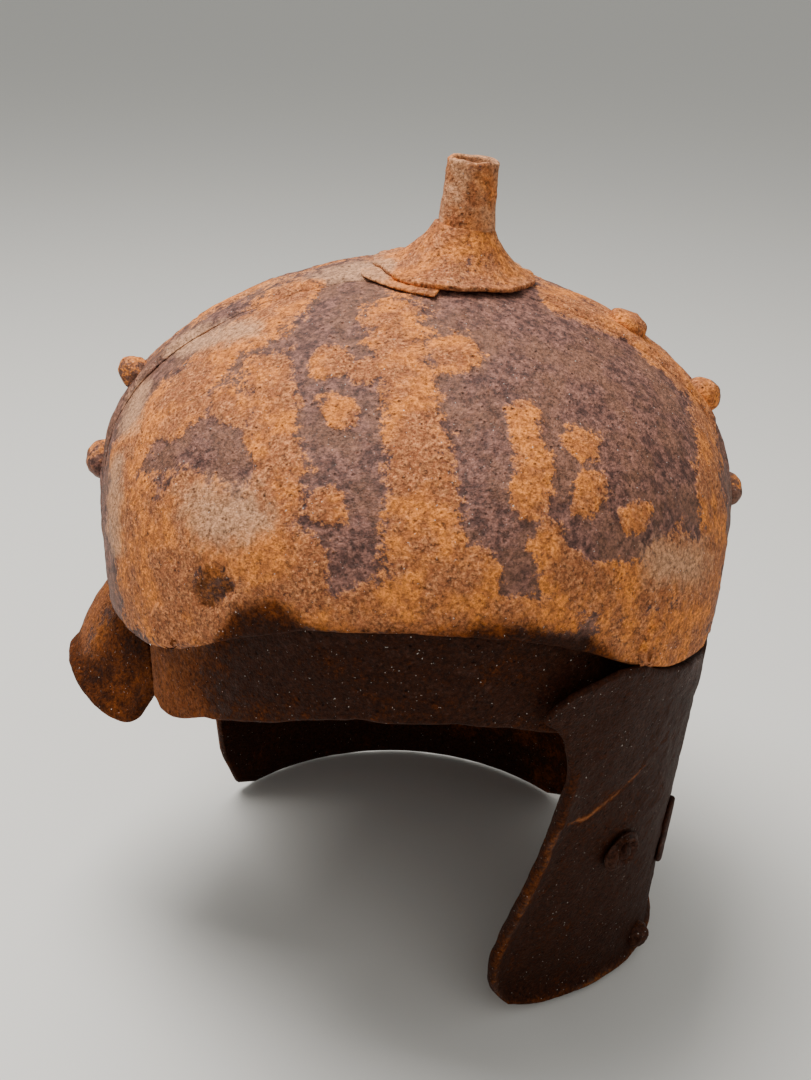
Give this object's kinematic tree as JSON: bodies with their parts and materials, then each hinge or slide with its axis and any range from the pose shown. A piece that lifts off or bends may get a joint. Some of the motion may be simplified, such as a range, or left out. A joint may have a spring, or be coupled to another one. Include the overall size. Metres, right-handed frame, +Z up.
{
  "type": "helmet",
  "caption": "Corroded iron helmet: low wide bulging bowl with transverse riveted strap, plume socket, inset brow band, neck guard and hinged cheek plates.",
  "frame": {"origin": "middle of the bounding box in plan, at the surface the helmet stands on", "axes": "+Z up through the crown, -Y out of the face opening, +X towards the wearer's left"},
  "size_m": [0.2416, 0.2316, 0.2909],
  "materials": {
    "rusted_iron": "pitted orange-brown rust over purple-grey iron",
    "dark_rust": "dark brown pitted rust with orange streaks",
    "plume_rust": "light orange-tan granular rust",
    "rivet_rust": "tan granular rust",
    "hinge_rust": "dark rust"
  },
  "bodies": {
    "skull": {"skull_front_plate": "rusted_iron", "skull_rear_plate": "rusted_iron", "crown_strap": "rusted_iron", "strap_rivets_left": "rivet_rust", "strap_rivets_right": "rivet_rust", "temple_bosses": "rivet_rust", "brow_band": "dark_rust", "neck_guard": "dark_rust", "plume_base": "plume_rust", "plume_base_tab": "plume_rust", "plume_tube": "plume_rust", "hinge_bracket_left": "hinge_rust", "hinge_bracket_right": "hinge_rust", "hinge_pin_left": "hinge_rust", "hinge_pin_right": "hinge_rust"},
    "left_cheek": {"left_cheek_plate": "dark_rust", "left_cheek_rim": "dark_rust", "left_cheek_ring": "rivet_rust", "left_cheek_rivet": "rivet_rust", "left_corner_knob": "rivet_rust", "left_strap_end": "dark_rust", "hinge_leaf_left": "hinge_rust"},
    "right_cheek": {"right_cheek_plate": "dark_rust", "right_cheek_rim": "dark_rust", "hinge_leaf_right": "hinge_rust"}
  },
  "joints": [
    {"name": "left_cheek_hinge", "type": "hinge", "parent": "skull", "child": "left_cheek", "pos_m": [0.10808, -0.00023, 0.1396], "axis": [0, -1, 0], "range_deg": [0, 70]},
    {"name": "right_cheek_hinge", "type": "hinge", "parent": "skull", "child": "right_cheek", "pos_m": [-0.09692, -0.00023, 0.1396], "axis": [0, 1, 0], "range_deg": [-25, 43]}
  ]
}
